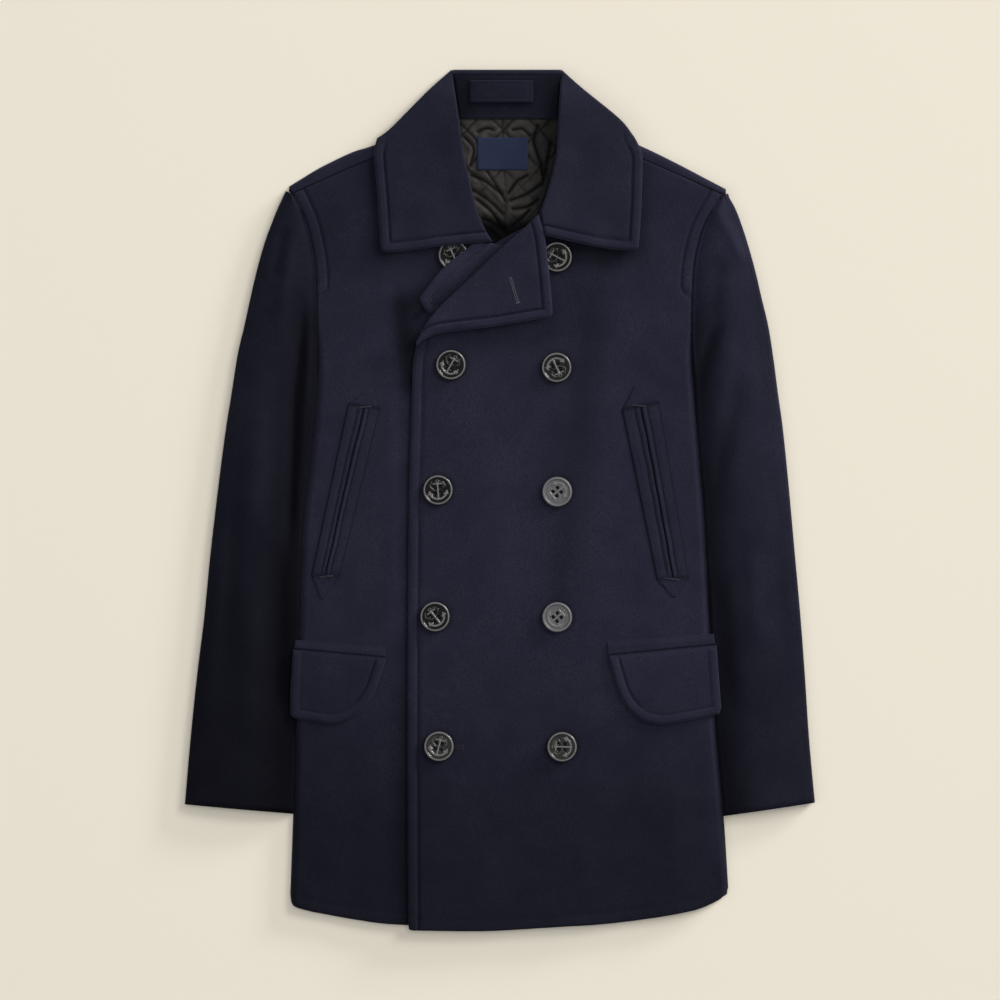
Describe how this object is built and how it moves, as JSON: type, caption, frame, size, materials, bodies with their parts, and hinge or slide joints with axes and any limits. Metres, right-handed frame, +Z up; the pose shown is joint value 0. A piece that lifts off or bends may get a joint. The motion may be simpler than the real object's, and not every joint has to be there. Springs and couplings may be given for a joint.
{
  "type": "pea coat",
  "caption": "Double-breasted wool pea coat laid flat, front up, with a wide collar, lapels, slanted hand-warmer pockets and flap pockets.",
  "frame": {"origin": "middle of the coat's footprint, on the surface it lies on", "axes": "+X to the wearer's left, +Y from the hem to the collar, +Z up out of the front of the coat"},
  "size_m": [0.5975, 0.8183, 0.0272],
  "materials": {
    "melton": "dense navy wool melton, matt, with a short nap",
    "lining_satin": "black quilted satin, soft sheen",
    "label_weave": "plain navy woven label, satin edge",
    "button_black": "black horn-like plastic, polished rim"
  },
  "bodies": {
    "root": {"back": "melton", "front_right": "melton", "front_left": "melton", "sleeve_right": "melton", "sleeve_left": "melton", "collar": "melton", "collar_stand": "melton", "lapel_left": "melton", "lapel_right": "melton", "hanger_loop": "melton", "pocket_welts_right": "melton", "pocket_welts_left": "melton", "pocket_flap_right": "melton", "pocket_flap_left": "melton", "pocket_jet_right": "melton", "pocket_jet_left": "melton", "lining": "lining_satin", "neck_label": "label_weave", "button_left_1": "button_black", "button_left_2": "button_black", "button_left_3": "button_black", "button_left_4": "button_black", "button_left_5": "button_black", "button_right_1": "button_black", "button_right_2": "button_black", "button_right_3": "button_black", "button_right_4": "button_black", "button_right_5": "button_black"}
  },
  "joints": []
}
